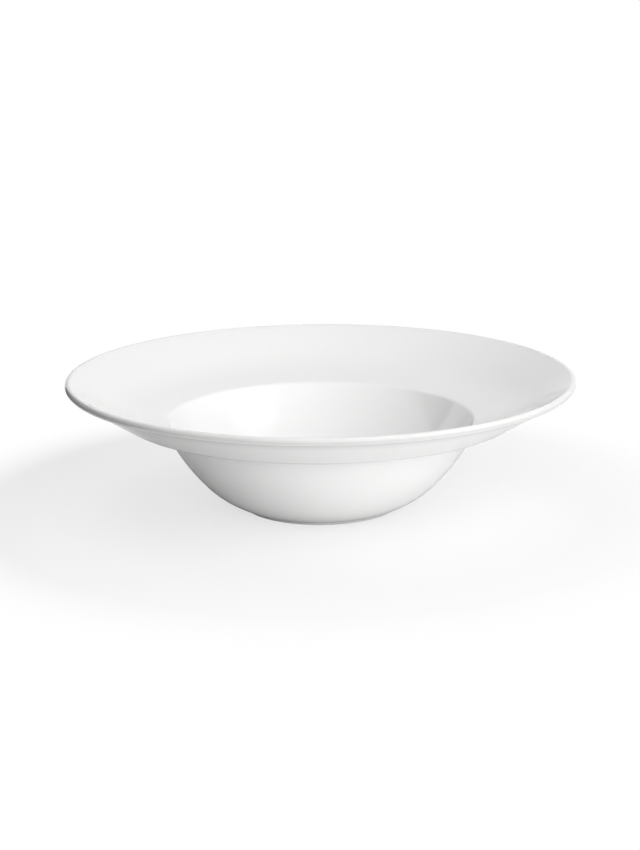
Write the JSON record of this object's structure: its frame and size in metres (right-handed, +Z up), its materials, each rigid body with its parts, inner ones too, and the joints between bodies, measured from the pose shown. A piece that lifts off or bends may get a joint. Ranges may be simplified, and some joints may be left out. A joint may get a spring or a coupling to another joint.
{
  "type": "pasta bowl",
  "caption": "Wide-rimmed glazed porcelain bowl: a deep round well for pasta or soup, a broad sloping rim with a rolled lip, and a bare foot ring to stand on.",
  "frame": {"origin": "centre of the foot ring's standing face, on the bowl's axis of turning", "axes": "+Z up along the axis of turning, from the table to the lip; X and Y are any two level directions, because the bowl is round"},
  "size_m": [0.27, 0.27, 0.071],
  "materials": {
    "porcelain": "matte",
    "glaze": "gloss",
    "foot_glaze": "gloss"
  },
  "bodies": {
    "root": {"porcelain_body": "porcelain", "bowl_glaze": "glaze", "foot_glaze": "foot_glaze"}
  },
  "joints": []
}
